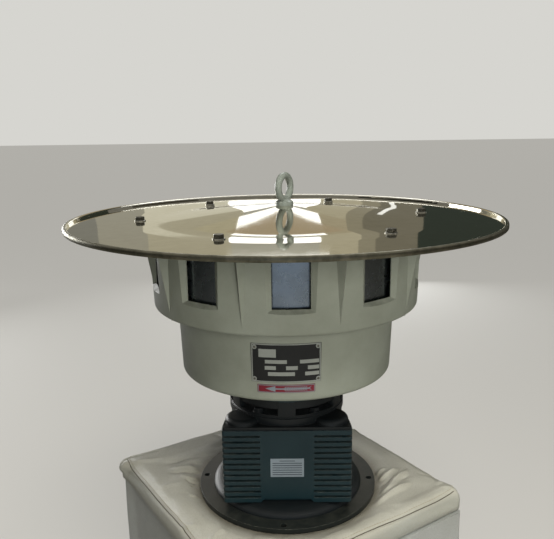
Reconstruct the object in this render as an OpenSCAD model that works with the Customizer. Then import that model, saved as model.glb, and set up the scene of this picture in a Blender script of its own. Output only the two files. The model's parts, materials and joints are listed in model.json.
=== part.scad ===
// Motor-driven rotary siren with a mirror-finish weather hood, standing on a covered display plinth.
// Origin: centre of the floor under the siren's vertical shaft. +Z is up and -Y faces the nameplate.

/* [Plinth] */
// Side of the plinth's square lid
lid_w = 430; // [380:5:560]
// Height of the lid from the lower edge of its skirt to its top
lid_h = 34; // [26:1:60]
// Height of the whole plinth
plinth_h = 450; // [250:10:700]
// How far the box stands back inside the lid on each side
lid_overhang = 6; // [3:1:14]
// Turn of the plinth about the shaft
plinth_turn = 34; // [0:1:90]
// Offset of the plinth's centre from the shaft along X
plinth_x = -4; // [-10:1:10]
// Offset of the plinth's centre from the shaft along Y
plinth_y = 13; // [-15:1:15]
// Thickness of the boards in the box and the lid
board_t = 15; // [9:1:20]
// Radius of the plinth's upright corners
plinth_r = 14; // [6:1:30]

/* [Base and motor] */
// Outer radius of the base flange
flange_r = 150; // [142:1:175]
// Thickness of the base flange
flange_t = 8.3; // [6:0.1:14]
// Radius of the circle of anchor holes
anchor_circle_r = 140; // [132:1:144]
// Radius of an anchor hole
anchor_hole_r = 5; // [3:0.5:6]
// Number of anchor holes
anchor_count = 4; // [3:1:8]
// Direction of the first anchor hole
anchor_turn = -2.5; // [-45:0.5:45]
// Radius of the domed foot where it meets the flange
foot_r = 126; // [115:1:130]
// Height of the domed foot
foot_h = 14.1; // [10:0.1:30]
// Height of the motor frame
frame_h = 121.6; // [90:0.1:180]
// Radius of the round middle of the motor frame
frame_body_r = 90; // [86:1:96]
// Radius of the cheeks at the front and back of the motor frame
cheek_r = 101; // [97:0.5:106]
// Distance from the shaft to the centre of a cheek's curve
cheek_y = 88; // [80:1:94]
// Distance from the shaft to a cheek's flat face
cheek_face = 101; // [97:0.5:106]
// Radius of the cheeks' upright edges
cheek_edge_r = 5; // [3:0.5:10]
// Width of the smooth pad in the middle of a cheek
frame_pad_w = 84; // [50:1:110]
// Height of the step under a smooth pad
pad_step_h = 6.4; // [3:0.2:12]
// Number of grooves between the cooling fins
groove_count = 12; // [6:1:16]
// Height of one groove
groove_h = 3.8; // [2:0.1:6]
// Depth of the grooves
groove_depth = 7; // [3:0.5:9]
// Height of the upper end shield
shoulder_h = 22; // [16:1:34]
// Radius of the four ears on the upper end shield
ear_r = 28; // [20:0.5:30]
// Radius of the motor shaft
shaft_r = 14; // [10:0.5:20]

/* [Neck and drum] */
// Outer radius of the neck
neck_r = 92.6; // [84:0.2:95]
// Wall of the neck
neck_wall = 6; // [4:0.5:10]
// Number of feet and air slots at the bottom of the neck
neck_feet = 6; // [4:1:8]
// Width of one foot of the neck
neck_foot_w = 28; // [20:1:36]
// Width of the flat rib that rises from each foot
neck_rib_w = 26; // [12:1:34]
// How far the ribs stand out from the neck
neck_rib_t = 1.8; // [1:0.2:4]
// Height of the neck from the end shield to the stator's base plate
neck_h = 155; // [130:1:200]
// Height of the air slots between the neck's feet
neck_slot_h = 10; // [6:0.5:24]
// Outer radius of the drum at its top
drum_r1 = 172.3; // [160:0.1:182]
// Outer radius of the drum at its lower edge
drum_r0 = 168.8; // [158:0.1:180]
// Height of the drum
drum_h = 99.3; // [86:0.1:130]
// Wall of the drum
drum_wall = 4; // [2:0.5:8]
// Radius of the rounded lower edge of the drum
drum_edge_r = 7; // [4:0.5:12]
// Width of the spokes between the air intakes
spoke_w = 24; // [14:1:36]

/* [Stator] */
// Height of the stator from its lower edge to the face that carries the hood
stator_h = 128.4; // [100:0.2:170]
// Number of sound ports round the stator
port_count = 10; // [6:1:12]
// Direction of the front port, away from straight ahead
port_turn = 2.1; // [-18:0.1:18]
// Radius of the stator's lower face, inside its rounded lower edge
lower_r = 205; // [200:0.5:207]
// Height of the rounded lower edge
round_h = 5; // [3:0.5:10]
// Outer radius of the stator's wall above the rounded edge
wall_r0 = 209; // [208:0.5:211]
// Outer radius of the stator's wall at its upper edge
wall_r1 = 213; // [211:0.5:216]
// Distance from the shaft to a buttress's crest at the upper edge
crest_r = 228; // [222:0.5:231]
// Height above the lower edge at which the buttresses grow out of the wall
crest_start = 10; // [6:0.5:40]
// Angle between the two flanks of a buttress
flank_angle = 62; // [40:1:80]
// Width of a sound port at its outer face
port_w_out = 64.6; // [54:0.2:70]
// Width of a sound port at its inner edge
port_w_in = 51; // [40:0.5:53]
// Height of a sound port's sill above the stator's lower edge, at the outer face
port_sill = 32.4; // [20:0.2:50]
// Rise of the sill from the outer face to the inner edge
sill_rise = 4; // [1:0.5:8]
// Inner radius of the stator
stator_bore_r = 203.5; // [198:0.5:204]
// Thickness of the stator's floor
floor_t = 4; // [3:0.5:6]
// Thickness of the stator's base plate
base_plate_t = 10; // [6:0.5:16]
// Outer radius of the stator's top flange
top_flange_r = 236; // [232:1:250]
// Thickness of the stator's top flange
top_flange_t = 8.6; // [6:0.2:12]

/* [Rotor] */
// Gap between the rotor and the stator all round
rotor_gap = 5; // [5:0.5:8]
// Wall of the rotor's rim
rim_wall = 4; // [3:0.5:8]
// Thickness of the rotor's closed top disc
disc_t = 5; // [4:0.5:10]
// Inner radius of the rotor's inlet ring
inlet_r = 126; // [100:1:150]
// Thickness of a rotor blade
blade_t = 4; // [3:0.5:8]
// Radius of the rotor's hub
hub_r = 32; // [24:1:44]

/* [Hood] */
// Outer radius of the hood
hood_r = 334.3; // [290:0.1:360]
// Thickness of the hood's sheet
hood_t = 2; // [1.5:0.1:5]
// Height of the hood's centre above its flat bolting band
hood_rise = 18.6; // [10:0.2:50]
// Radius at which the hood's cone starts to flatten
cone_r = 180; // [150:1:188]
// Inner radius of the flat bolting band
band_r0 = 212; // [192:1:216]
// Outer radius of the flat bolting band
band_r1 = 242; // [238:1:260]
// Fall of the hood from the bolting band to its rim
hood_fall = 2.6; // [1:0.2:10]
// Height of the raised lip above the sheet at the rim
lip_h = 5.3; // [4:0.1:12]
// Width of the raised lip
lip_w = 6; // [4:0.5:10]
// Radius of the lifting eye's collar
collar_r = 14; // [10:0.5:18]
// Height of the lifting eye's collar
collar_h = 9; // [6:0.5:14]
// Outer radius of the lifting eye's ring
eye_r = 24; // [20:0.5:30]
// Radius of the bar that the lifting eye is bent from
eye_bar_r = 5.5; // [4:0.25:7]
// Turn of the lifting eye's ring away from facing the front
eye_turn = 60; // [0:5:180]

/* [Plates] */
// Width of the nameplate
nameplate_w = 98; // [70:1:120]
// Height of the nameplate
nameplate_h = 57; // [40:1:58]
// Height of the nameplate's centre above the drum's lower edge
nameplate_up = 59.4; // [58:0.1:62]
// Width of the direction plate
arrow_w = 81; // [60:1:100]
// Height of the direction plate
arrow_h = 11.8; // [8:0.2:14]
// Height of the direction plate's centre above the drum's lower edge
arrow_up = 21.3; // [17:0.1:22]
// Thickness of both plates
plate_t = 1; // [0.6:0.1:2]

/* [Hidden] */
box_w = lid_w - 2 * lid_overhang;
box_h = plinth_h - lid_h;
paint_dark = "#3b4547";
paint_cream = "#b9bdad";
plain_metal = "#b8bcc0";
port_step = 360 / port_count;
half_port = port_step / 2;
frame_z0 = flange_t + foot_h;
frame_z1 = frame_z0 + frame_h;
shoulder_z1 = frame_z1 + shoulder_h;
neck_z1 = shoulder_z1 + neck_h;
stator_z0 = neck_z1 + base_plate_t;
stator_z1 = stator_z0 + stator_h;
port_z0 = stator_z0 + port_sill;
port_z1 = stator_z1 - top_flange_t;
air_r = inlet_r + 34;
rotor_r = stator_bore_r - rotor_gap;
rotor_z0 = stator_z0 + floor_t + rotor_gap;
rotor_z1 = stator_z1 - top_flange_t - rotor_gap;
drum_z0 = neck_z1 - drum_h;
drum_wall_z0 = drum_z0 + drum_edge_r;
drum_wall_z1 = neck_z1;
ear_x = cheek_r - ear_r - 4;
ear_y = cheek_face - ear_r - 3;
ear_rise = 9;
neck_ring_h = neck_slot_h + 12;
bearing_r = shaft_r + 12;
bearing_h = 18;
shaft_gap = 6;
shaft_fit = 0.05;
shaft_z0 = frame_z0 + 10;
hub_z0 = rotor_z1 - disc_t - 50;
shaft_z1 = rotor_z1;
hood_z0 = stator_z1;
lip_z0 = hood_z0 - hood_fall;
eye_seat_z = hood_z0 + hood_t + hood_rise;
label_w = 52;
label_h = 31;
label_up = 60;
label_t = 0.4;

// A square prism with rounded upright corners, standing on z = 0
module rounded_block(w, h, r) {
    linear_extrude(h) translate([r - w / 2, r - w / 2]) rounded_rectangle(w - 2 * r, w - 2 * r, r);
}

// The outline of a rectangle grown by a round of radius r, with exact arcs
module rounded_rectangle(w, d, r) {
    translate([0, -r]) square([w, d + 2 * r]);
    translate([-r, 0]) square([w + 2 * r, d]);
    for (x = [0, w], y = [0, d])
        translate([x, y]) circle(r, $fn = 48);
}

// Puts its children where the plinth stands
module at_plinth(z) {
    translate([plinth_x, plinth_y, z]) rotate(plinth_turn) children();
}

// Lifts its children from the siren's own base onto the plinth
module on_plinth() {
    translate([0, 0, plinth_h]) children();
}

// A plain ring between two radii and two heights
module ring(r0, r1, z0, z1) {
    rotate_extrude($fn = 180) translate([r0, z0]) square([r1 - r0, z1 - z0]);
}

module plinth_walls() {
    color("#dcd6c8") at_plinth(board_t) difference() {
        rounded_block(box_w, box_h - board_t, plinth_r);
        translate([0, 0, -1]) rounded_block(box_w - 2 * board_t, box_h, plinth_r);
    }
}

module plinth_floor() {
    color("#6e6154") at_plinth(0) rounded_block(box_w, board_t, plinth_r);
}

module lid_board() {
    color("#b59b75") at_plinth(box_h) rounded_block(box_w - 2 * board_t, board_t, plinth_r);
}

module lid_pad() {
    color("#e2dccf") at_plinth(box_h) difference() {
        rounded_block(lid_w, lid_h, plinth_r + lid_overhang);
        translate([0, 0, -1]) rounded_block(box_w - 2 * board_t, board_t + 1, plinth_r);
    }
}

module base_flange() {
    color(paint_dark) on_plinth() difference() {
        ring(0, flange_r, 0, flange_t);
        for (i = [0:anchor_count - 1])
            rotate(anchor_turn + i * 360 / anchor_count) translate([anchor_circle_r, 0, -1])
                cylinder(r = anchor_hole_r, h = flange_t + 2, $fn = 48);
    }
}

// The domed foot: a quarter-round flank that rises from the flange to the frame
module base_foot() {
    top_r = cheek_face - 2;
    reach = foot_r - top_r;
    color(paint_dark) on_plinth() translate([0, 0, flange_t]) rotate_extrude($fn = 180)
        polygon([[0, 0], for (a = [0:10:90]) [top_r + reach * cos(a), foot_h * sin(a)], [0, foot_h]]);
}

// Plan of the motor frame: a round middle with a flat-faced cheek at the front and at the back
module frame_plan(inset) {
    face = cheek_face - inset;
    circle(frame_body_r - inset, $fn = 180);
    for (side = [-1, 1])
        intersection() {
            translate([0, side * cheek_y]) circle(cheek_r - inset, $fn = 180);
            translate([cheek_edge_r - cheek_r, cheek_edge_r - face])
                rounded_rectangle(2 * (cheek_r - cheek_edge_r), 2 * (face - cheek_edge_r), cheek_edge_r);
            translate([-cheek_r - 1, min(0, side * 2 * cheek_r)]) square(2 * cheek_r + 2);
        }
}

// Horizontal grooves leave cooling fins round the frame, with a smooth pad on each cheek
module motor_frame() {
    pitch = frame_h / (groove_count + 1);
    color(paint_dark) on_plinth() difference() {
        translate([0, 0, frame_z0]) linear_extrude(frame_h) frame_plan(0);
        for (i = [1:groove_count])
            translate([0, 0, frame_z0 + i * pitch - groove_h / 2]) linear_extrude(groove_h)
                difference() {
                    square(2 * cheek_r + 10, center = true);
                    frame_plan(groove_depth);
                    square([frame_pad_w, 2 * cheek_face + 20], center = true);
                }
        for (turn = [0, 180])
            rotate(turn) pad_step();
        translate([0, 0, shaft_z0]) cylinder(r = shaft_r + shaft_gap, h = frame_z1, $fn = 96);
    }
}

// The step under a smooth pad, with slanted ends
module pad_step() {
    half = frame_pad_w / 2;
    translate([0, -cheek_face + groove_depth, frame_z0]) rotate([90, 0, 0])
        linear_extrude(groove_depth + 1) polygon([
            [-half - 1, -1], [half + 1, -1], [half, 0], [half - pad_step_h, pad_step_h],
            [pad_step_h - half, pad_step_h], [-half, 0]
        ]);
}

// The upper end shield: a plate on the frame, a round shoulder and four domed ears
module motor_end_shield() {
    plate_h = 5;
    color(paint_dark) on_plinth() difference() {
        union() {
            translate([0, 0, frame_z1]) linear_extrude(plate_h) frame_plan(2);
            translate([0, 0, frame_z1 + plate_h]) rotate_extrude($fn = 180) shoulder_profile(shoulder_h - plate_h);
            for (x = [-ear_x, ear_x], y = [-ear_y, ear_y])
                translate([x, y, frame_z1 + plate_h]) rotate_extrude($fn = 64) ear_profile();
        }
        translate([0, 0, frame_z1 - 1]) cylinder(r = shaft_r + shaft_gap, h = shoulder_h + 2, $fn = 96);
        translate([0, 0, shoulder_z1 - bearing_h]) cylinder(r = bearing_r, h = bearing_h + 1, $fn = 96);
    }
}

// Section of the round shoulder: a cove that rises to the neck's seat
module shoulder_profile(h) {
    difference() {
        square([neck_r + 2, h]);
        translate([neck_r + 2, h - 4]) circle(2, $fn = 32);
    }
}

// Section of an ear: a short wall with a rounded top
module ear_profile() {
    round_r = ear_rise - 1;
    square([ear_r, 1]);
    square([ear_r - round_r, ear_rise]);
    translate([ear_r - round_r, 1]) intersection() {
        circle(round_r, $fn = 48);
        square(round_r);
    }
}

module motor_label() {
    color("#e4e6e4") on_plinth()
        translate([-label_w / 2, -cheek_face - label_t, frame_z0 + label_up - label_h / 2])
            cube([label_w, label_t, label_h]);
}

module lower_bearing() {
    color(plain_metal) on_plinth() ring(shaft_r + shaft_fit, shaft_r + shaft_gap, shaft_z0, shaft_z0 + bearing_h);
}

module upper_bearing() {
    color(plain_metal) on_plinth() ring(shaft_r + shaft_fit, bearing_r, shoulder_z1 - bearing_h, shoulder_z1);
}

// The bottom ring of the neck: feet stand on the end shield with air slots between them
module neck_feet_ring() {
    color(paint_dark) on_plinth() translate([0, 0, shoulder_z1]) difference() {
        linear_extrude(neck_ring_h) neck_plan();
        for (i = [0:neck_feet - 1])
            rotate(-90 + (i + 0.5) * 360 / neck_feet) translate([0, 0, -1])
                linear_extrude(neck_slot_h + 1) slot_sector();
    }
}

// Plan of the neck: a round wall with a flat rib over each foot
module neck_plan() {
    difference() {
        union() {
            circle(neck_r, $fn = 180);
            intersection() {
                circle(neck_r + neck_rib_t, $fn = 180);
                for (i = [0:neck_feet - 1])
                    rotate(-90 + i * 360 / neck_feet) translate([0, -neck_rib_w / 2])
                        square([2 * neck_r, neck_rib_w]);
            }
        }
        circle(neck_r - neck_wall, $fn = 180);
    }
}

// The plan of one air slot: the sector between two feet, with sides parallel to the feet
module slot_sector() {
    a = 180 / neck_feet;
    reach = neck_r + 4;
    half_foot = neck_foot_w / 2;
    start = half_foot / sin(a);
    polygon([[start, 0], [start + reach * cos(a), reach * sin(a)], [start + 2 * reach, 0],
        [start + reach * cos(a), -reach * sin(a)]]);
}

module neck_tube() {
    z0 = shoulder_z1 + neck_ring_h;
    color(paint_dark) on_plinth() translate([0, 0, z0]) linear_extrude(neck_z1 - z0) neck_plan();
}

// The stator's base plate: spokes carry the drum and stator and leave the air intakes open
module stator_base() {
    intake_r0 = neck_r + 4;
    color(paint_cream) on_plinth() difference() {
        ring(shaft_r + shaft_gap, drum_r1, neck_z1, stator_z0);
        for (i = [0:5])
            rotate(i * 60) translate([0, 0, neck_z1 - 1])
                linear_extrude(base_plate_t + 2) intersection() {
                    difference() {
                        circle(air_r, $fn = 180);
                        circle(intake_r0, $fn = 180);
                    }
                    spoke_gap(air_r);
                }
    }
}

// The wedge between two spokes
module spoke_gap(r) {
    start = spoke_w / 2 / sin(30);
    polygon([[start, 0], [start + 2 * r * cos(30), 2 * r * sin(30)], [start + 2 * r * cos(30), -2 * r * sin(30)]]);
}

module drum() {
    color(paint_cream) on_plinth() rotate_extrude($fn = 180) polygon([
        [drum_r0 - drum_wall, drum_wall_z0], [drum_r0, drum_wall_z0],
        [drum_r1, drum_wall_z1], [drum_r1 - drum_wall, drum_wall_z1]
    ]);
}

// Outer radius of the drum at a height
function drum_r(z) = drum_r0 + (drum_r1 - drum_r0) * (z - drum_wall_z0) / (drum_wall_z1 - drum_wall_z0);

// The rounded lower edge that turns in under the drum
module drum_edge() {
    color(paint_cream) on_plinth() rotate_extrude($fn = 180)
        translate([drum_r0 - drum_edge_r, drum_z0 + drum_edge_r]) intersection() {
            circle(drum_edge_r, $fn = 48);
            translate([-drum_edge_r, -drum_edge_r]) square([2 * drum_edge_r, drum_edge_r]);
        }
}

// The stator ring: a wall and a floor, buttresses that carry the hood's flange, and bevelled ports
module stator_ring() {
    h = port_z1 - stator_z0;
    color(paint_cream) on_plinth() translate([0, 0, stator_z0]) rotate(-90 + port_turn) difference() {
        union() {
            stator_blank(h);
            intersection() {
                cylinder(r = crest_r + 10, h = h, $fn = 180);
                union()
                    for (i = [0:port_count - 1])
                        rotate((i + 0.5) * port_step) buttress(h);
            }
        }
        translate([0, 0, floor_t]) cylinder(r = stator_bore_r, h = h, $fn = 180);
        translate([0, 0, -1]) cylinder(r = air_r + 4, h = floor_t + 2, $fn = 180);
        for (i = [0:port_count - 1])
            rotate(i * port_step) port_cutter(h);
    }
}

// The solid that the stator ring is cut from, with its lower edge rounded
module stator_blank(h) {
    edge = [for (a = [0:22.5:90]) [lower_r + (wall_r0 - lower_r) * sin(a), round_h * (1 - cos(a))]];
    rotate_extrude($fn = 180) polygon(concat([[0, 0]], edge, [[wall_r1, h], [0, h]]));
}

// A prism whose crest leaves the wall at crest_start and leans out to crest_r at the top.
// Its flanks widen as it rises, so it shows as a long triangle.
module buttress(h) {
    start_r = wall_r0 + (wall_r1 - wall_r0) * (crest_start - round_h) / (h - round_h);
    lean = atan((crest_r - start_r) / (h - crest_start));
    depth = crest_r - stator_bore_r - 4;
    half = depth * tan(flank_angle / 2);
    translate([start_r, 0, crest_start]) rotate([0, lean, 0]) translate([0, 0, -h])
        linear_extrude(3 * h) polygon([[0, 0], [-depth, half], [-depth, -half]]);
}

// A port that opens outwards: its sides and its sill are bevelled from the bore to the outer face
module port_cutter(h) {
    bevel = wall_r0 - 1 - stator_bore_r;
    inner = stator_bore_r - 6;
    reach = wall_r1 + 2;
    run = (reach - stator_bore_r) / bevel;
    half_in = port_w_in / 2;
    half_out = half_in + (port_w_out - port_w_in) / 2 * run;
    sill_in = port_sill + sill_rise;
    sill_out = sill_in - sill_rise * run;
    intersection() {
        linear_extrude(h + 1) polygon([
            [inner, -half_in], [stator_bore_r, -half_in], [reach, -half_out],
            [reach, half_out], [stator_bore_r, half_in], [inner, half_in]
        ]);
        translate([0, reach, 0]) rotate([90, 0, 0]) linear_extrude(2 * reach) polygon([
            [inner, sill_in], [stator_bore_r, sill_in], [reach, sill_out], [reach, h + 1], [inner, h + 1]
        ]);
    }
}

module stator_top_flange() {
    color(paint_cream) on_plinth() ring(stator_bore_r, top_flange_r, port_z1, stator_z1);
}

// Height of the hood's underside above its bolting band, at radius r inside the band:
// a straight cone up to cone_r, then a smooth curve that flattens into the band
function hood_height(r) =
    let (slope = hood_rise / (cone_r - collar_r + (band_r0 - cone_r) / 2))
    r <= collar_r ? hood_rise
    : r <= cone_r ? hood_rise - slope * (r - collar_r)
    : slope * (band_r0 - r) * (band_r0 - r) / (band_r0 - cone_r) / 2;

// The hood's section: a low cone, a flat bolting band and a gentle fall to the rim
module hood() {
    inner_lip = hood_r - lip_w;
    radii = concat([0, collar_r], [for (i = [0:6]) cone_r + i * (band_r0 - cone_r) / 6]);
    under = concat([for (r = radii) [r, hood_z0 + hood_height(r)]], [[band_r1, hood_z0], [inner_lip, lip_z0]]);
    last = len(under) - 1;
    color("#d5d8da") on_plinth() rotate_extrude($fn = 180)
        polygon(concat(under, [for (i = [last:-1:0]) under[i] + [0, hood_t]]));
}

// The raised lip round the rim, with a rounded crest
module hood_lip() {
    round_r = lip_w / 2;
    crest = lip_z0 + hood_t + lip_h - round_r;
    color("#c4c6c6") on_plinth() rotate_extrude($fn = 180) polygon(concat(
        [[hood_r - lip_w, lip_z0], [hood_r, lip_z0]],
        [for (a = [0:30:180]) [hood_r - round_r + round_r * cos(a), crest + round_r * sin(a)]]
    ));
}

// A stiffening plate under the hood's centre that the lifting eye screws into
module hood_backing_plate() {
    color(plain_metal) on_plinth() ring(0, collar_r, hood_z0 + hood_rise - 8, hood_z0 + hood_rise);
}

module lifting_eye() {
    mid_r = eye_r - eye_bar_r;
    color("#26302d") on_plinth() translate([0, 0, eye_seat_z]) union() {
        rotate_extrude($fn = 64) polygon([
            [0, 0], [collar_r, 0], [collar_r, collar_h * 0.6], [collar_r * 0.62, collar_h],
            [0, collar_h + 2]
        ]);
        translate([0, 0, collar_h + mid_r]) rotate(eye_turn) rotate([90, 0, 0])
            rotate_extrude($fn = 64) translate([mid_r, 0]) circle(eye_bar_r, $fn = 32);
    }
}

// A thin plate bent round the drum, centred on the front
module curved_plate(w, h, z) {
    z0 = z - h / 2;
    z1 = z + h / 2;
    a = w / drum_r(z) * 180 / PI;
    rotate(-90 - a / 2) rotate_extrude(angle = a, $fn = 180) polygon([
        [drum_r(z0), z0], [drum_r(z0) + plate_t, z0], [drum_r(z1) + plate_t, z1], [drum_r(z1), z1]
    ]);
}

module nameplate() {
    color("#1b1c1e") on_plinth() curved_plate(nameplate_w, nameplate_h, drum_z0 + nameplate_up);
}

module direction_plate() {
    color("#9c2236") on_plinth() curved_plate(arrow_w, arrow_h, drum_z0 + arrow_up);
}

module shaft() {
    color(plain_metal) on_plinth() translate([0, 0, shaft_z0]) cylinder(r = shaft_r, h = shaft_z1 - shaft_z0, $fn = 96);
}

module rotor_hub() {
    color(plain_metal) on_plinth() ring(shaft_r, hub_r, hub_z0, rotor_z1 - disc_t);
}

module rotor_disc() {
    color(plain_metal) on_plinth() ring(shaft_r, rotor_r, rotor_z1 - disc_t, rotor_z1);
}

// The rotor's rim: its solid parts cover the stator's ports at rest, its openings lie between them
module rotor_rim() {
    open_z0 = port_z0 - 4;
    color(plain_metal) on_plinth() difference() {
        ring(rotor_r - rim_wall, rotor_r, rotor_z0 + disc_t, rotor_z1 - disc_t);
        for (i = [0:port_count - 1])
            rotate(-90 + port_turn + (i + 0.5) * port_step)
                translate([rotor_r - rim_wall - 4, -port_w_in / 2, open_z0])
                    cube([rim_wall + 8, port_w_in, rotor_z1 - disc_t - 6 - open_z0]);
    }
}

// Radial blades from the hub to the rim, one behind each solid part of the rim
module rotor_blades() {
    rim = rotor_r - rim_wall;
    color(plain_metal) on_plinth()
        for (i = [0:port_count - 1])
            rotate(-90 + port_turn + i * port_step) rotate([90, 0, 0]) translate([0, 0, -blade_t / 2])
                linear_extrude(blade_t) polygon([
                    [hub_r, rotor_z1 - disc_t], [hub_r, hub_z0], [inlet_r, rotor_z0 + disc_t],
                    [rim, rotor_z0 + disc_t], [rim, rotor_z1 - disc_t]
                ]);
}

module rotor_inlet_ring() {
    color(plain_metal) on_plinth() ring(inlet_r, rotor_r, rotor_z0, rotor_z0 + disc_t);
}

module rotor_nut() {
    color("#8f9498") on_plinth() translate([0, 0, rotor_z1]) cylinder(r = shaft_r * 0.95, h = 8, $fn = 6);
}

plinth_walls();
plinth_floor();
lid_board();
lid_pad();
base_flange();
base_foot();
motor_frame();
motor_end_shield();
motor_label();
lower_bearing();
upper_bearing();
neck_feet_ring();
neck_tube();
stator_base();
drum();
drum_edge();
stator_ring();
stator_top_flange();
hood();
hood_lip();
hood_backing_plate();
lifting_eye();
nameplate();
direction_plate();
shaft();
rotor_hub();
rotor_disc();
rotor_rim();
rotor_blades();
rotor_inlet_ring();
rotor_nut();
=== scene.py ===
import json
import math

import bmesh
import bpy
from mathutils import Matrix, Vector, noise
from mathutils.bvhtree import BVHTree

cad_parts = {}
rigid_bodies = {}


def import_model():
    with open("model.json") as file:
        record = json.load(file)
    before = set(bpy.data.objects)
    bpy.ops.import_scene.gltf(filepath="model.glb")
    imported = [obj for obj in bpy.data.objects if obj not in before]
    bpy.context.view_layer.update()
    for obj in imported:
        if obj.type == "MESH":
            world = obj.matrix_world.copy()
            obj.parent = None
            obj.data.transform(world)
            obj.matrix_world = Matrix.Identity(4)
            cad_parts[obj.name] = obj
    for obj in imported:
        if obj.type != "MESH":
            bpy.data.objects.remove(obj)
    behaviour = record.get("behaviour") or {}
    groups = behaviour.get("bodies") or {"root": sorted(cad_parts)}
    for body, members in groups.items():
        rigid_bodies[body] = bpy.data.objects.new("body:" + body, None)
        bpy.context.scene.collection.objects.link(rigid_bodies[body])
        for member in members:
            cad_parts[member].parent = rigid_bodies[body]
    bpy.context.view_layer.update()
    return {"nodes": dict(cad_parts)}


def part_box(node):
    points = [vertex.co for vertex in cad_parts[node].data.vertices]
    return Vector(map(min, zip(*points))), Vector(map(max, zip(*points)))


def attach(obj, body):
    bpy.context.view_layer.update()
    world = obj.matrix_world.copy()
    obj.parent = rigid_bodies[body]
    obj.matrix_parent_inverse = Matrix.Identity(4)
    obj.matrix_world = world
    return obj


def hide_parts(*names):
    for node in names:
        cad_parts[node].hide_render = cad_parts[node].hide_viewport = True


for leftover in list(bpy.data.objects):
    bpy.data.objects.remove(leftover)

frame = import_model()
print("frame loaded")

mm = 0.001
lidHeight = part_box("base_flange")[0].z  # the siren stands at this height


def placeObject(name, data):
    obj = bpy.data.objects.new(name, data)
    bpy.context.scene.collection.objects.link(obj)
    return obj


# Camera

photoView = {
    "focal": 626.535,  # in pixels of the photograph
    "width": 554,  # of the photograph, in pixels
    "place": (0.0, -0.98573, 0.59382),  # from the foot of the shaft
    "pitch": -12.469,  # degrees above the horizon
    "roll": -0.777,
    "turn": 0.762,  # degrees to the left
}


def addCamera(view):
    data = bpy.data.cameras.new("photoCamera")
    data.sensor_fit = "HORIZONTAL"
    data.sensor_width = 36.0
    data.lens = view["focal"] * data.sensor_width / view["width"]
    data.clip_start = 0.02
    camera = placeObject("photoCamera", data)
    x, y, z = view["place"]
    turn = Matrix.Rotation(math.radians(view["turn"]), 4, "Z")
    pitch = Matrix.Rotation(math.radians(90 + view["pitch"]), 4, "X")
    roll = Matrix.Rotation(math.radians(view["roll"]), 4, "Z")
    camera.matrix_world = Matrix.Translation((x, y, lidHeight + z)) @ turn @ pitch @ roll
    bpy.context.scene.camera = camera
    bpy.context.scene.view_settings.view_transform = "Standard"


addCamera(photoView)
print("camera placed")


# Mesh helpers

def meshObject(name, verts, faces, edges=()):
    mesh = bpy.data.meshes.new(name)
    mesh.from_pydata([tuple(v) for v in verts], list(edges), faces)
    mesh.update()
    mesh.shade_smooth()
    return placeObject(name, mesh)


def bmeshObject(name, bm):
    mesh = bpy.data.meshes.new(name)
    bm.to_mesh(mesh)
    bm.free()
    return placeObject(name, mesh)


def turnOutwards(obj):
    bm = bmesh.new()
    bm.from_mesh(obj.data)
    bmesh.ops.remove_doubles(bm, verts=bm.verts, dist=1e-6)
    bmesh.ops.recalc_face_normals(bm, faces=bm.faces)
    bm.to_mesh(obj.data)
    bm.free()
    return obj


def stackedForm(name, verts, n):
    # a closed form from rows of n points each, with a cap at both ends
    rows = len(verts) // n
    faces = [[j * n + i, (j + 1) * n + i, (j + 1) * n + (i + 1) % n, j * n + (i + 1) % n]
             for j in range(rows - 1) for i in range(n)]
    faces += [list(range(n)), [(rows - 1) * n + i for i in reversed(range(n))]]
    return turnOutwards(meshObject(name, verts, faces))


def lathe(name, profile, steps):
    # a closed turned form: the profile runs round its section in metres, and may touch the axis
    verts, faces, rings = [], [], []
    for r, z in profile:
        if r < 1e-6:
            rings.append([len(verts)] * steps)
            verts.append((0, 0, z))
            continue
        rings.append([len(verts) + i for i in range(steps)])
        for i in range(steps):
            a = 2 * math.pi * i / steps
            verts.append((r * math.cos(a), r * math.sin(a), z))
    onAxis = profile[0][0] < 1e-6
    for j in range(len(profile) - 1 if onAxis else len(profile)):
        low, high = rings[j], rings[(j + 1) % len(profile)]
        for i in range(steps):
            k = (i + 1) % steps
            loop = [low[i], low[k], high[k], high[i]]
            face = [v for n, v in enumerate(loop) if v not in loop[:n]]
            if len(face) > 2:
                faces.append(face)
    return turnOutwards(meshObject(name, verts, faces))


def applyModifiers(obj):
    depsgraph = bpy.context.evaluated_depsgraph_get()
    mesh = bpy.data.meshes.new_from_object(obj.evaluated_get(depsgraph))
    obj.modifiers.clear()
    old = obj.data
    obj.data = mesh
    bpy.data.meshes.remove(old)


def sharpenEdges(obj, degrees):
    bm = bmesh.new()
    bm.from_mesh(obj.data)
    for edge in bm.edges:
        sharp = edge.calc_face_angle(0) >= math.radians(degrees)
        edge.smooth = len(edge.link_faces) == 2 and not sharp
    for face in bm.faces:
        face.smooth = True
    bm.to_mesh(obj.data)
    bm.free()


# Shader helpers

def feed(tree, node, values):
    # a socket in values is linked, anything else is set as the default
    for key, value in values.items():
        if isinstance(value, bpy.types.NodeSocket):
            tree.links.new(value, node.inputs[key])
        else:
            node.inputs[key].default_value = value


def addNode(tree, kind, values=None, **settings):
    # kind leaves out ShaderNode, and is whole for other nodes
    node = tree.nodes.new(kind if "Node" in kind else "ShaderNode" + kind)
    for key, value in settings.items():
        setattr(node, key, value)
    feed(tree, node, values or {})
    return node


def colour(r, g, b):
    # an sRGB colour from 0 to 255 as the linear one that nodes take
    def linear(c):
        c /= 255
        return c / 12.92 if c <= 0.04045 else ((c + 0.055) / 1.055) ** 2.4
    return (linear(r), linear(g), linear(b), 1)


def mathNode(tree, operation, a, b, clamp=False):
    return addNode(tree, "Math", {0: a, 1: b}, operation=operation, use_clamp=clamp).outputs[0]


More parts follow.
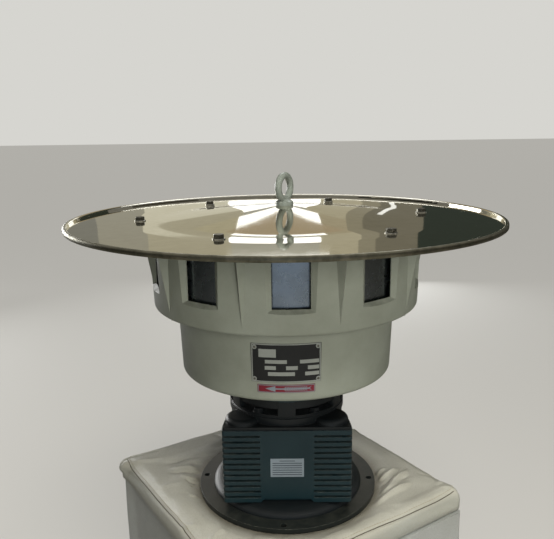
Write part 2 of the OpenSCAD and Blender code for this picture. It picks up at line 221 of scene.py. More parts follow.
def mapValue(tree, value, low, high, toLow=0.0, toHigh=1.0, eased=False):
    node = addNode(tree, "MapRange", {0: value, 1: low, 2: high, 3: toLow, 4: toHigh})
    if eased:
        node.interpolation_type = "SMOOTHSTEP"
    return node.outputs[0]


def mixColour(tree, factor, a, b):
    return addNode(tree, "Mix", {0: factor, 6: a, 7: b}, data_type="RGBA").outputs[2]


def noiseValue(tree, vector, scale, detail, rough, distort=0.0):
    return addNode(tree, "TexNoise", {"Vector": vector, "Scale": scale, "Detail": detail,
                                      "Roughness": rough, "Distortion": distort}).outputs["Fac"]


def newGroup(name, treeKind, inputs, outputs):
    tree = bpy.data.node_groups.new(name, treeKind + "NodeTree")
    for way, sockets in (("INPUT", inputs), ("OUTPUT", outputs)):
        for label, kind in sockets.items():
            tree.interface.new_socket(label, in_out=way, socket_type="NodeSocket" + kind)
    return tree, tree.nodes.new("NodeGroupInput").outputs, tree.nodes.new("NodeGroupOutput")


def useGroup(tree, group, values):
    node = tree.nodes.new("ShaderNodeGroup")
    node.node_tree = group
    feed(tree, node, values)
    return node.outputs


def newMaterial(name):
    material = bpy.data.materials.new(name)
    material.use_nodes = True
    tree = material.node_tree
    return material, tree, tree.nodes["Principled BSDF"]


def objectCoords(tree):
    return addNode(tree, "TexCoord").outputs["Object"]


def heightOf(tree, vector):
    return addNode(tree, "SeparateXYZ", {0: vector}).outputs["Z"]


# Groups that several finishes share

def makePaintTone():
    # paint with cloudy patches of grime and a fine grain
    tree, given, result = newGroup("paintTone", "Shader", {
        "Paint": "Color", "Grime": "Color", "Patch Scale": "Float", "Grime Amount": "Float",
        "Grain Scale": "Float", "Grain Amount": "Float"},
        {"Colour": "Color", "Grain": "Float", "Patches": "Float"})
    place = objectCoords(tree)
    patches = mapValue(tree, noiseValue(tree, place, given["Patch Scale"], 5, 0.6), 0.38, 0.68)
    grime = mathNode(tree, "MULTIPLY", patches, given["Grime Amount"])
    grain = noiseValue(tree, place, given["Grain Scale"], 3, 0.6)
    tinted = mixColour(tree, grime, given["Paint"], given["Grime"])
    specks = mapValue(tree, grain, 0.3, 0.7, 1.0, 0.6)
    shade = mathNode(tree, "SUBTRACT", 1.0, specks)
    shade = mathNode(tree, "MULTIPLY", shade, given["Grain Amount"])
    toned = mixColour(tree, shade, tinted, given["Grime"])
    feed(tree, result, {"Colour": toned, "Grain": grain, "Patches": patches})
    return tree


def makeSoftEdges():
    # rounds the edges of a cast piece in the shading, and finds them for wear
    tree, given, result = newGroup("softEdges", "Shader", {"Radius": "Float"},
                                   {"Normal": "Vector", "Edge": "Float"})
    bevel = addNode(tree, "Bevel", {"Radius": given["Radius"]}, samples=4).outputs[0]
    flat = addNode(tree, "NewGeometry").outputs["Normal"]
    dot = addNode(tree, "VectorMath", {0: bevel, 1: flat}, operation="DOT_PRODUCT").outputs["Value"]
    apart = mathNode(tree, "SUBTRACT", 1.0, dot)
    broken = noiseValue(tree, objectCoords(tree), 220, 4, 0.65)
    worn = mathNode(tree, "MULTIPLY", apart, mapValue(tree, broken, 0.4, 0.62))
    feed(tree, result, {"Normal": bevel, "Edge": mapValue(tree, worn, 0.02, 0.2)})
    return tree


def makeTopDust():
    # dust that lies on what faces upwards; where this tone is darker than the paint, as on the
    # siren's paint, it is painted shade
    tree, given, result = newGroup(
        "topDustAndShade", "Shader", {"Colour": "Color", "Dust And Shade": "Color", "Amount": "Float"},
        {"Colour": "Color", "Mask": "Float"})
    up = mapValue(tree, heightOf(tree, addNode(tree, "NewGeometry").outputs["Normal"]), 0.55, 1.0)
    cloud = mapValue(tree, noiseValue(tree, objectCoords(tree), 60, 6, 0.7), 0.35, 0.7)
    mask = mathNode(tree, "MULTIPLY", mathNode(tree, "MULTIPLY", up, cloud), given["Amount"], True)
    dusted = mixColour(tree, mask, given["Colour"], given["Dust And Shade"])
    feed(tree, result, {"Colour": dusted, "Mask": mask})
    return tree


# all in mm, from the shaft and the top of the lid
hideMarks = {
    "stains": [(-262, 4, 2), (-258, -2, -4), (-248, -14, -2), (-251, -20, -8), (181, 78, 6)],
    "stainReach": (3.5, 5.0), "stainRagged": 4.0, "stain": colour(92, 84, 66),
    "footRingGrimeAndShade": (154.0, 178.0), "ringRagged": 12.0,  # grime and painted contact shade round the siren's foot
    "skirt": (-9.0, -1.0),  # below the seams the tone turns to the darker, cooler skirt tone, which is painted shade
}


def makeHideGrain(marks):
    # pebbled leatherette: small rounded cells, soft creases, grime, a few stains, and painted shade
    # on the skirt and round the siren's foot
    tree, given, result = newGroup(
        "hideGrain", "Shader", {"Base": "Color", "Valley": "Color", "Shaded Skirt": "Color"},
        {"Colour": "Color", "Height": "Float", "Rough": "Float"})
    place = objectCoords(tree)
    cells = addNode(tree, "TexVoronoi", {"Vector": place, "Scale": 700},
                    feature="F1").outputs["Distance"]
    pebble = mapValue(tree, cells, 0.15, 0.75, 1.0, 0.0, True)
    creases = noiseValue(tree, place, 26, 7, 0.62, 0.6)
    height = mathNode(tree, "ADD", mathNode(tree, "MULTIPLY", pebble, 0.35), creases)

    def ragged(distance, amount):
        return mathNode(tree, "ADD", distance, mathNode(tree, "MULTIPLY", creases, amount * mm))

    def span(value, ends, toLow, toHigh, level=0.0):
        return mapValue(tree, value, ends[0] * mm + level, ends[1] * mm + level, toLow, toHigh)

    # below the seams the base turns to the darker, cooler skirt tone: painted shade
    low = span(heightOf(tree, place), marks["skirt"], 1.0, 0.0, lidHeight)
    base = mixColour(tree, low, given["Base"], given["Shaded Skirt"])
    clouds = mapValue(tree, noiseValue(tree, place, 9, 5, 0.6), 0.36, 0.7)
    tone = mixColour(tree, mathNode(tree, "MULTIPLY", clouds, 0.5), base, given["Valley"])
    tone = mixColour(tree, mapValue(tree, pebble, 0.0, 0.5, 0.35, 0.0), tone, given["Valley"])
    level = addNode(tree, "VectorMath", {0: place, 1: (1, 1, 0)}, operation="MULTIPLY").outputs[0]
    away = addNode(tree, "VectorMath", {0: level}, operation="LENGTH").outputs["Value"]
    # a darker ring round the foot in the stain colour: grime, and painted contact shade where the
    # flange presses the pad
    ring = span(ragged(away, marks["ringRagged"]), marks["footRingGrimeAndShade"], 0.75, 0.0)
    tone = mixColour(tree, ring, tone, marks["stain"])
    spots = mapValue(tree, noiseValue(tree, place, 31, 3, 0.5), 0.73, 0.78)
    for x, y, z in marks["stains"]:
        away = addNode(tree, "VectorMath", {0: place, 1: (x * mm, y * mm, lidHeight + z * mm)},
                       operation="DISTANCE").outputs["Value"]
        stain = span(ragged(away, marks["stainRagged"]), marks["stainReach"], 1.6, 0.0)
        spots = mathNode(tree, "MAXIMUM", spots, stain)
    tone = mixColour(tree, mathNode(tree, "MULTIPLY", spots, 0.45, True), tone, marks["stain"])
    feed(tree, result, {"Colour": tone, "Height": height,
                        "Rough": mapValue(tree, creases, 0.3, 0.7, 0.32, 0.46)})
    return tree


paintTone = makePaintTone()
softEdges = makeSoftEdges()
topDustAndShade = makeTopDust()
hideGrain = makeHideGrain(hideMarks)
print("shader groups built")


# Finishes

def addGrain(tree, shader, height, look, normal=None):
    bump = addNode(tree, "Bump", {"Strength": look["bump"], "Distance": look["depth"],
                                  "Height": height})
    if normal:
        feed(tree, bump, {"Normal": normal})
    feed(tree, shader, {"Normal": bump.outputs[0], "Specular IOR Level": look["shine"]})


def enamel(name, paint, grime, look):
    material, tree, shader = newMaterial(name)
    tone = useGroup(tree, paintTone, {"Paint": paint, "Grime": grime, "Patch Scale": look["patch"],
                                      "Grime Amount": look["grime"], "Grain Scale": look["grain"],
                                      "Grain Amount": look["speck"]})
    edges = useGroup(tree, softEdges, {"Radius": look["edge"]})
    chipped = mixColour(tree, mathNode(tree, "MULTIPLY", edges["Edge"], look["wear"]),
                        tone["Colour"], look["bare"])
    dustyAndShaded = useGroup(tree, topDustAndShade, {"Colour": chipped, "Dust And Shade": look["dust"],
                                     "Amount": look["dustyAndShaded"]})
    duller = mathNode(tree, "MULTIPLY", dustyAndShaded["Mask"], look["dustRough"])
    rough = mapValue(tree, tone["Patches"], 0.0, 1.0, look["rough"],
                     look["rough"] + look["roughVary"])
    rough = mathNode(tree, "ADD", rough, duller, True)
    addGrain(tree, shader, tone["Grain"], look, edges["Normal"])
    feed(tree, shader, {"Base Color": dustyAndShaded["Colour"], "Roughness": rough})
    return material


def metal(name, base, look):
    material, tree, shader = newMaterial(name)
    place = objectCoords(tree)
    stretched = addNode(tree, "Mapping", {"Vector": place, "Scale": look["stretch"]}).outputs[0]
    streaks = noiseValue(tree, stretched, look["scale"], 5, 0.6)
    dull = mapValue(tree, streaks, 0.35, 0.7, 0.0, look["vary"])
    tint = mixColour(tree, dull, base, look["dull"])
    edges = useGroup(tree, softEdges, {"Radius": look["edge"]})
    addGrain(tree, shader, streaks, look, edges["Normal"])
    rough = mapValue(tree, streaks, 0.3, 0.7, look["rough"], look["rough"] + look["roughVary"])
    feed(tree, shader, {"Base Color": tint, "Metallic": 1.0, "Roughness": rough})
    return material


hideLook = {"bump": 0.55, "depth": 0.0012, "shine": 0.6}


def leatherette(name, base, valley, skirt):
    material, tree, shader = newMaterial(name)
    hide = useGroup(tree, hideGrain, {"Base": base, "Valley": valley, "Shaded Skirt": skirt})
    addGrain(tree, shader, hide["Height"], hideLook)
    feed(tree, shader, {"Base Color": hide["Colour"], "Roughness": hide["Rough"]})
    return material


plainLook = {
    "patch": 9.0, "grime": 0.35, "grain": 900.0, "speck": 0.3, "edge": 0.0009, "wear": 0.5,
    "bare": colour(150, 150, 138), "dust": colour(140, 138, 122), "dustyAndShaded": 0.3,
    "bump": 0.25, "depth": 0.0004, "rough": 0.42, "roughVary": 0.14, "dustRough": 0.3, "shine": 0.5,
}
printed = {"bump": 0.05, "dustyAndShaded": 0.0, "wear": 0.0, "edge": 0.0001}
paints = {
    # paint, grime, and what differs from plainLook
    # the siren's dark tone on upward faces is painted shade on the sills under the hood, not dust
    "sirenPaint": ((140, 145, 133), (90, 92, 78), {"dust": colour(64, 66, 57), "dustyAndShaded": 1.3}),
    "motorEnamel": ((17, 37, 42), (12, 23, 27), {
        "rough": 0.30, "bare": colour(92, 98, 94), "speck": 0.2, "dust": colour(92, 96, 88),
        "dustyAndShaded": 0.35, "bump": 0.18}),
    # a darker copy of motorEnamel: painted shade on the end shield, neck ring, foot and neck bolts
    # under the drum
    "shieldEnamel": ((17, 21, 23), (11, 13, 14), {
        "rough": 0.36, "bare": colour(70, 74, 70), "wear": 0.4, "speck": 0.2,
        "dust": colour(44, 46, 42), "dustyAndShaded": 0.12, "bump": 0.2}),
    "flangeEnamel": ((25, 29, 28), (16, 19, 18), {
        "rough": 0.28, "bare": colour(120, 122, 110), "wear": 0.7, "dust": colour(100, 100, 88),
        "dustyAndShaded": 0.15}),
    "eyeEnamel": ((126, 133, 124), (84, 88, 80), {
        "rough": 0.2, "bump": 0.08, "dustyAndShaded": 0.0, "shine": 0.7}),
    "plateBlack": ((26, 27, 27), (16, 16, 16), {
        **printed, "rough": 0.35, "wear": 0.2, "edge": 0.0003}),
    "plateRed": ((112, 28, 42), (70, 22, 30), {
        **printed, "rough": 0.35, "wear": 0.2, "edge": 0.0003}),
    "labelWhite": ((119, 130, 137), (94, 102, 106), {**printed, "rough": 0.5, "edge": 0.0002}),
    "labelRule": ((56, 62, 68), (44, 50, 54), {**printed, "rough": 0.5}),
    "plateField": ((140, 144, 138), (90, 94, 88), {**printed, "rough": 0.35}),
    "boardPly": ((150, 120, 84), (96, 72, 46), {
        "rough": 0.7, "bump": 0.4, "dustyAndShaded": 0.0, "grain": 400.0}),
    "seamThread": ((70, 63, 48), (48, 42, 32), {**printed, "rough": 0.6, "bump": 0.3}),
    "stitchThread": ((160, 154, 134), (120, 112, 92), {**printed, "rough": 0.55, "bump": 0.3}),
}
plainMetal = {
    "stretch": (1, 1, 1), "scale": 180.0, "vary": 0.6, "dull": colour(70, 68, 62), "edge": 0.0004,
    "bump": 0.15, "depth": 0.0003, "rough": 0.28, "roughVary": 0.2, "shine": 0.5,
}
metals = {
    # bright metal, and what differs from plainMetal
    "rotorMetal": ((172, 180, 188), {
        "rough": 0.24, "roughVary": 0.06, "vary": 0.15, "bump": 0.04, "scale": 40.0}),
    "shaftSteel": ((170, 168, 160), {"stretch": (1, 1, 8)}),
    "rimMetal": ((150, 146, 128), {
        "rough": 0.34, "scale": 60.0, "dull": colour(92, 90, 76), "vary": 0.8}),
    "boltSteel": ((120, 118, 108), {"scale": 400.0}),
    "washerSteel": ((210, 208, 198), {"rough": 0.22}),
    "hoodSheet": ((232, 228, 214), {
        "rough": 0.035, "roughVary": 0.03, "vary": 0.2, "bump": 0.02, "scale": 60.0,
        "dull": colour(176, 170, 150)}),
}
leathers = {
    # pebbles, the valleys between them, and the tone below the lid's seams, which is painted shade
    "coverHide": ((180, 179, 167), (148, 146, 132), (154, 156, 148)),
    # the walls' copy of the hide is darker and cooler than the lid's: painted shade and painted
    # cool window light
    "coverWall": ((166, 169, 166), (140, 141, 133), (166, 169, 166)),
}
finishes = {}
for name, (paint, grime, look) in paints.items():
    finishes[name] = enamel(name, colour(*paint), colour(*grime), {**plainLook, **look})
for name, (base, look) in metals.items():
    finishes[name] = metal(name, colour(*base), {**plainMetal, **look})
for name, tones in leathers.items():
    finishes[name] = leatherette(name, *[colour(*tone) for tone in tones])

slotFinish = {
    "cover": "coverHide", "board": "boardPly", "dark_paint": "motorEnamel",
    "flange_paint": "flangeEnamel", "cream_paint": "sirenPaint", "bright_sheet": "hoodSheet",
    "rim_metal": "rimMetal", "rotor_metal": "rotorMetal", "shaft_steel": "shaftSteel",
    "eye_metal": "eyeEnamel", "plate_black": "plateBlack", "plate_red": "plateRed",
    "label_white": "labelWhite",
}
shadedPieces = ("motor_end_shield", "neck_feet_ring", "base_foot")  # a darker copy of the motor's enamel: painted shade under the drum
for name, node in frame["nodes"].items():
    for slot in node.material_slots:
        plain = slotFinish[slot.material.name.split(".")[0]]
        slot.material = finishes["shieldEnamel" if name in shadedPieces else plain]
print("finishes made")


def finish(obj, material):
    obj.data.materials.clear()
    obj.data.materials.append(finishes[material])
    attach(obj, "stand")


# Hood

hoodSizes = {
    "rise": 18.6, "cone": 180, "bandIn": 212, "bandOut": 242, "rim": 334.3, "fall": 2.6,
    "under": 459.4, "thick": 2.0, "collar": 14, "lipWidth": 6.0, "lipHigh": 464.1, "lipLow": 456.8,
    "steps": 240, "crestSteps": 12,
    "waves": 7.0, "waveHigh": 0.45, "waveFrom": 0.02, "waveFade": 0.1,  # waves to the metre
}


def smooth(t):
    t = max(0.0, min(1.0, t))
    return t * t * (3 - 2 * t)


def hoodUnder(r, s):
    # height of the sheet's lower face over its bolting band, in millimetres
    bend = s["bandIn"] - s["cone"]
    slope = s["rise"] / (s["cone"] - s["collar"] + bend / 2)
    if r <= s["collar"]:
        return s["rise"]
    if r <= s["cone"]:
        return s["rise"] - slope * (r - s["collar"])
    if r <= s["bandIn"]:
        return slope * (s["bandIn"] - r) ** 2 / (2 * bend)
    if r <= s["bandOut"]:
        return 0.0
    return -s["fall"] * (r - s["bandOut"]) / (s["rim"] - s["lipWidth"] - s["bandOut"])


def makeHood(s):
    edge = s["rim"] - s["lipWidth"]
    radii = [0, 6, 13, 15, 20, 30, 45, 60, 80, 100, 120, 140, 155, 168, 176, 180, 184, 188, 192,
             196, 200, 204, 208, 212, 216, 222, 230, 238, 242, 246, 256, 270, 285, 300, 315, edge]
    low = [(r * mm, lidHeight + (s["under"] + hoodUnder(r, s)) * mm) for r in radii]
    high = [(r, z + s["thick"] * mm) for r, z in reversed(low)]
    sheet = lathe("hoodSheet", low + high, s["steps"])
    for vertex in sheet.data.vertices:
        x, y, z = vertex.co
        wave = noise.noise(Vector((x, y, 0.4)) * s["waves"])
        wave *= smooth((math.hypot(x, y) - s["waveFrom"]) / s["waveFade"])
        vertex.co.z += wave * s["waveHigh"] * mm
    sharpenEdges(sheet, 40)
    finish(sheet, "hoodSheet")
    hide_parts("hood")

    crest = s["lipWidth"] / 2
    section = [(edge, s["lipLow"]), (s["rim"] - 0.6, s["lipLow"]), (s["rim"], s["lipLow"] + 0.6)]
    for i in range(s["crestSteps"] + 1):
        a = math.pi * i / s["crestSteps"]
        section.append((edge + crest + crest * math.cos(a),
                        s["lipHigh"] - crest + crest * math.sin(a)))
    lip = lathe("hoodRim", [(r * mm, lidHeight + z * mm) for r, z in section], s["steps"])
    sharpenEdges(lip, 50)
    finish(lip, "rimMetal")
    lip.data.materials.append(finishes["hoodSheet"])
    for face in lip.data.polygons:
        if math.hypot(face.center.x, face.center.y) < (edge + crest) * mm:
            face.material_index = 1  # the rolled sheet shows inside the lip
    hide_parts("hood_lip")


makeHood(hoodSizes)
print("hood made")


# Bolts and washers in rings

def copyOnPoints(tree, given, result, points, facing):
    # the piece on each point, made real and given its material
    piece = addNode(tree, "GeometryNodeObjectInfo", {"Object": given["Piece"]})
    copies = addNode(tree, "GeometryNodeInstanceOnPoints", {
        "Points": points, "Instance": piece.outputs["Geometry"], "Rotation": facing})
    real = addNode(tree, "GeometryNodeRealizeInstances", {"Geometry": copies.outputs[0]})
    painted = addNode(tree, "GeometryNodeSetMaterial", {
        "Geometry": real.outputs[0], "Material": given["Material"]})
    feed(tree, result, {"Geometry": painted.outputs[0]})


def makeRingTree():
    # copies of one piece, turned outwards round the shaft
    tree, given, result = newGroup("pieceRing", "Geometry", {
        "Piece": "Object", "Count": "Int", "Radius": "Float", "First Angle": "Float",
        "Step Angle": "Float", "Height": "Float", "Material": "Material"},
        {"Geometry": "Geometry"})
    index = addNode(tree, "GeometryNodeInputIndex").outputs[0]
    angle = mathNode(tree, "MULTIPLY", index, given["Step Angle"])
    angle = mathNode(tree, "ADD", angle, given["First Angle"])
    cosine = addNode(tree, "Math", {0: angle}, operation="COSINE").outputs[0]
    sine = addNode(tree, "Math", {0: angle}, operation="SINE").outputs[0]
    spot = addNode(tree, "CombineXYZ", {
        0: mathNode(tree, "MULTIPLY", cosine, given["Radius"]),
        1: mathNode(tree, "MULTIPLY", sine, given["Radius"]), 2: given["Height"]})
    points = addNode(tree, "GeometryNodePoints", {
        "Count": given["Count"], "Position": spot.outputs[0]})
    facing = addNode(tree, "CombineXYZ", {2: angle})
    copyOnPoints(tree, given, result, points.outputs[0], facing.outputs[0])
    return tree


def repeatPiece(obj, tree, piece, material, values):
    # piece is used up: it is the pattern that the copies repeat
    modifier = obj.modifiers.new("copies", "NODES")
    modifier.node_group = tree
    values = {"Piece": piece, "Material": finishes[material], **values}
    for item in tree.interface.items_tree:
        if item.in_out == "INPUT" and item.name in values:
            modifier[item.identifier] = values[item.name]
    applyModifiers(obj)
    bpy.data.objects.remove(piece)
    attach(obj, "stand")


hexShape = {"steps": 24, "shoulder": 0.86, "crown": 0.97, "drop": 0.35}


def hexHead(flats, high):
    # a hexagon bolt head with its corners turned down
    s = hexShape
    verts = []
    for z, drop in ((0, 0), (high * s["shoulder"], s["drop"]), (high, 0)):
        for i in range(s["steps"]):
            a = 2 * math.pi * i / s["steps"]
            reach = flats / 2 / math.cos((a + math.pi / 6) % (math.pi / 3) - math.pi / 6)
            if z == high:
                reach = flats / 2 * s["crown"]
            sunk = (reach - flats / 2) * drop
            verts.append((reach * math.cos(a) * mm, reach * math.sin(a) * mm, (z - sunk) * mm))
    head = stackedForm("hexHead", verts, s["steps"])
    sharpenEdges(head, 25)
    return head


boltShape = {"flats": 13, "head": 5.3, "washer": 17, "hole": 8.4, "thick": 1.6}  # M8
boltRows = {
    "hood": {"count": 6, "radius": 224, "first": 8.2, "height": 461.4,
             "bolts": "boltSteel", "washers": "washerSteel"},
    # the neck bolts and washers take the painted-shade enamel
    "neck": {"count": 6, "radius": 88, "first": 0.0, "height": 166,
             "bolts": "shieldEnamel", "washers": "shieldEnamel"},
}


def washerPiece(across, hole, thick):
    r, h, t = across / 2 * mm, hole / 2 * mm, thick * mm
    return lathe("washer", [(h, 0), (r, 0), (r, t * 0.8), (r - t * 0.2, t), (h, t)], 32)


def makeBoltRows(rows, s):
    tree = makeRingTree()
    for name, row in rows.items():
        place = {"Count": row["count"], "Radius": row["radius"] * mm,
                 "First Angle": math.radians(row["first"]),
                 "Step Angle": 2 * math.pi / row["count"],
                 "Height": lidHeight + row["height"] * mm}
        repeatPiece(meshObject(name + "Washers", [], []), tree,
                    washerPiece(s["washer"], s["hole"], s["thick"]), row["washers"], place)
        place["Height"] += s["thick"] * mm
        repeatPiece(meshObject(name + "Bolts", [], []), tree,
                    hexHead(s["flats"], s["head"]), row["bolts"], place)


makeBoltRows(boltRows, boltShape)
print("bolts made")


# Plates on the drum

drumSizes = {"low": 228.7, "high": 321.0, "lowR": 168.8, "highR": 172.3, "plate": 1.0, "bend": 3}


def onDrum(x, z, lift):
    # a point at arc x and height z on the drum, lift out from its plates' faces
    s = drumSizes
    r = s["lowR"] + (s["highR"] - s["lowR"]) * (z - s["low"]) / (s["high"] - s["low"])
    r += s["plate"] + lift
    a = -math.pi / 2 + x / r
    return (r * math.cos(a) * mm, r * math.sin(a) * mm, lidHeight + z * mm)


def bentPlate(name, outlines, thick):
    # thin flat shapes drawn in arc and height, cut into strips and bent round the drum
    bm = bmesh.new()
    for outline in outlines:
        bm.faces.new([bm.verts.new((x, 0, z)) for x, z in outline])
    xs = [v.co.x for v in bm.verts]
    step = drumSizes["bend"]
    x = math.floor(min(xs) / step) * step + step
    while x < max(xs):
        bmesh.ops.bisect_plane(bm, geom=bm.verts[:] + bm.edges[:] + bm.faces[:], dist=1e-4,
                               plane_co=(x, 0, 0), plane_no=(1, 0, 0))
        x += step
    back = bmesh.ops.extrude_face_region(bm, geom=bm.faces[:])
    for v in [g for g in back["geom"] if isinstance(g, bmesh.types.BMVert)]:
        v.co.y = thick
    bmesh.ops.recalc_face_normals(bm, faces=bm.faces)
    for v in bm.verts:
        v.co = onDrum(v.co.x, v.co.z, v.co.y)
    bmesh.ops.recalc_face_normals(bm, faces=bm.faces)
    return bmeshObject(name, bm)


def rectangle(x0, x1, z0, z1):
    return [(x0, z0), (x1, z0), (x1, z1), (x0, z1)]


def disc(x, z, r):
    turns = [math.pi * i / 8 for i in range(16)]
    return [(x + r * math.cos(a), z + r * math.sin(a)) for a in turns]


def borderStrips(s):
    l, r, b, t, w = s["left"], s["right"], s["low"], s["high"], s["border"]
    return [rectangle(l, r, b, b + w), rectangle(l, r, t - w, t),
            rectangle(l, l + w, b + w, t - w), rectangle(r - w, r, b + w, t - w)]


nameplateLayout = {
    "left": -48.6, "right": 48.6, "low": 252.9, "high": 309.3, "border": 1.5, "thick": 0.15,
    "fields": [(-29.6, 1.0, 280.7, 286), (19.1, 46.2, 280.7, 286), (-29.8, -14.3, 271.4, 277),
               (-0.2, 16.0, 271.4, 277), (30.2, 46.2, 271.4, 277), (-25.5, 12, 262.5, 268),
               (26.3, 46.2, 262.5, 268), (-38.4, -14, 289.7, 301.8)],
    "rivets": [(-44.3, 304.3), (45.0, 304.8), (-44.8, 257.0), (45.2, 256.8)],
    "ring": 3.4, "rivet": 1.65, "rivetHigh": 0.85,
}


def makeNameplate(s):
    marks = borderStrips(s) + [rectangle(*field) for field in s["fields"]]
    marks += [disc(x, z, s["ring"]) for x, z in s["rivets"]]
    finish(bentPlate("nameplateFields", marks, s["thick"]), "plateField")
    rivets = [disc(x, z, s["rivet"]) for x, z in s["rivets"]]
    finish(bentPlate("nameplateRivets", rivets, s["rivetHigh"]), "boltSteel")


directionLayout = {
    "middle": 243.0, "tip": -29.7, "neck": -15.4, "half": 4.3, "shaft": 1.0, "tail": 35.8,
    "left": -40.0, "right": 40.0, "low": 237.5, "high": 248.5, "border": 0.8,
    "thick": 0.15,
    "barbs": 10, "barbStep": 3.2, "barbWide": 1.5, "barbLean": 2.4, "barbStart": -3.0,
}


def makeArrow(s):
    m, h, c = s["middle"], s["half"], s["shaft"]
    arrow = [(s["tip"], m), (s["neck"], m - h), (s["neck"], m - c), (s["tail"] - 4, m - c),
             (s["tail"], m - h * 0.8), (s["tail"] - 3, m), (s["tail"], m + h * 0.8),
             (s["tail"] - 4, m + c), (s["neck"], m + c), (s["neck"], m + h)]
    barbs = []
    for n in range(s["barbs"]):
        x = s["barbStart"] + n * s["barbStep"]
        for side in (-1, 1):
            near, far = m + side * c, m + side * h * 0.8
            barbs.append([(x, near), (x + s["barbWide"], near),
                          (x + s["barbWide"] + s["barbLean"], far), (x + s["barbLean"], far)])
    marks = [arrow] + barbs + borderStrips(s)
    finish(bentPlate("directionArrow", marks, s["thick"]), "labelWhite")


labelRules = {
    # ends as shares of the label's width, the first rule's and the others'
    "first": (0.27, 0.73), "other": (0.06, 0.94), "others": 6,
    "wide": 1.2, "deep": 0.2, "sunk": 0.05,
}


def makeLabelRules(s):
    # plain ruled lines where the motor's label has its entries
    low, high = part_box("motor_label")
    width, tall = high.x - low.x, high.z - low.z
    rules = [s["first"]] + [s["other"]] * s["others"]
    bm = bmesh.new()
    for n, (first, last) in enumerate(rules):
        middle = (low.x + width * (first + last) / 2, low.y - s["sunk"] * mm,
                  high.z - tall * (n + 1) / (len(rules) + 1))
        size = (width * (last - first), s["deep"] * mm, s["wide"] * mm, 1)
        bmesh.ops.create_cube(bm, size=1, matrix=Matrix.Translation(middle) @ Matrix.Diagonal(size))
    finish(bmeshObject("labelRules", bm), "labelRule")


makeNameplate(nameplateLayout)
makeArrow(directionLayout)
makeLabelRules(labelRules)
print("plates made")


# Padded lid and plinth cover

plinthSizes = {
    "centre": (-4.0, 13.0), "turn": 34.0, "lidHigh": 34.0, "boxHalf": 211.5, "boxCorner": 7.0,
    "foot": [0, 3, 12], "rows": 30, "tuck": 1.0, "wave": 1.3, "waveWide": 90, "waveTall": 60,
    # corners that the cover draws out: which, and how far along x and along y
    "pulls": [(-1, 1, 7.0, 1.0), (1, -1, 3.0, 1.0)], "pullReach": 40,
}


def turned(x, y, a):
    return (x * math.cos(a) - y * math.sin(a), x * math.sin(a) + y * math.cos(a))


def roundedSquare(half, corner, sideSteps, cornerSteps):
    # points round a square with rounded corners, in its own axes
    points = []
    for turn in range(4):
        a = math.pi / 2 * turn
        for i in range(sideSteps):
            points.append(turned(half, (-1 + 2 * i / sideSteps) * (half - corner), a))
        for i in range(cornerSteps):
            b = math.pi / 2 * i / cornerSteps
            points.append(turned(half - corner + corner * math.cos(b),
                                 half - corner + corner * math.sin(b), a))
    return points


def fromPlinth(x, y):
    # a place in the plinth's own axes as one beside the shaft
    (cx, cy), (x, y) = plinthSizes["centre"], turned(x, y, math.radians(plinthSizes["turn"]))
    return (cx + x, cy + y)


def plinthPoint(x, y, z):
    # the same with the height in metres, as a vertex
    x, y = fromPlinth(x, y)
    return (x * mm, y * mm, z)


def toPlinth(x, y):
    cx, cy = plinthSizes["centre"]
    return turned(x - cx, y - cy, -math.radians(plinthSizes["turn"]))


def ridge(x, high, at, half):
    return high * math.exp(-((x - at) / half) ** 2)


padShape = {
    # seam lines' distance from the middle and how far the skirt stands out below them, in mm
    "sides": {"left": 213.0, "right": 214.0, "front": 200.5, "back": 213.0},
    "skirt": {"left": 6.0, "right": 3.0, "front": 9.0, "back": 4.0},
    "lifts": {"left": 5.0, "right": 5.0, "front": 1.0, "back": 9.0},  # seam above the siren's foot
    "half": 215.0, "corner": 9.0, "reach": 60.0,
    "press": 151.0, "dent": 30.0, "sunk": 0.25,  # what the flange presses flat, and round it
    # height, place and half width of the swell round the foot and the roll behind the front seam
    "puff": (3.2, 30.0, 18.0), "roll": (3.6, 11.0, 7.0), "wave": 1.5, "waveWide": 55.0,
    # rows of points: shares of the way out to the seams, then growth and drop down the skirt
    "shares": (0.02, 0.12, 0.24, 0.36, 0.46, 0.54, 0.60, 0.65, 0.70, 0.75, 0.80, 0.85, 0.89, 0.93,
               0.96, 0.985, 1.0),
    "drops": ((0.3, 1.5), (0.62, 5), (0.85, 10), (0.97, 16), (1.0, 22), (0.98, 28), (0.94, 34.0)),
    "voxel": 0.005, "frames": 20, "pressure": 4.0, "cap": 0.003, "stiff": 12, "bend": 0.6,
    # corners in the plinth's own directions: reach, pull along x and along y
    "corners": [(-1, 1, 34, 11.0, 3.0), (1, -1, 26, 3.0, 3.0), (-1, -1, 26, 3.0, 3.0),
                (1, 1, 26, 3.0, 3.0)],
    "groove": 1.8, "grooveHalf": 2.6, "upperFrom": 22.0, "upperOver": 16.0, "skirtPull": 0.35,
    "creaseBend": 2.4,
}
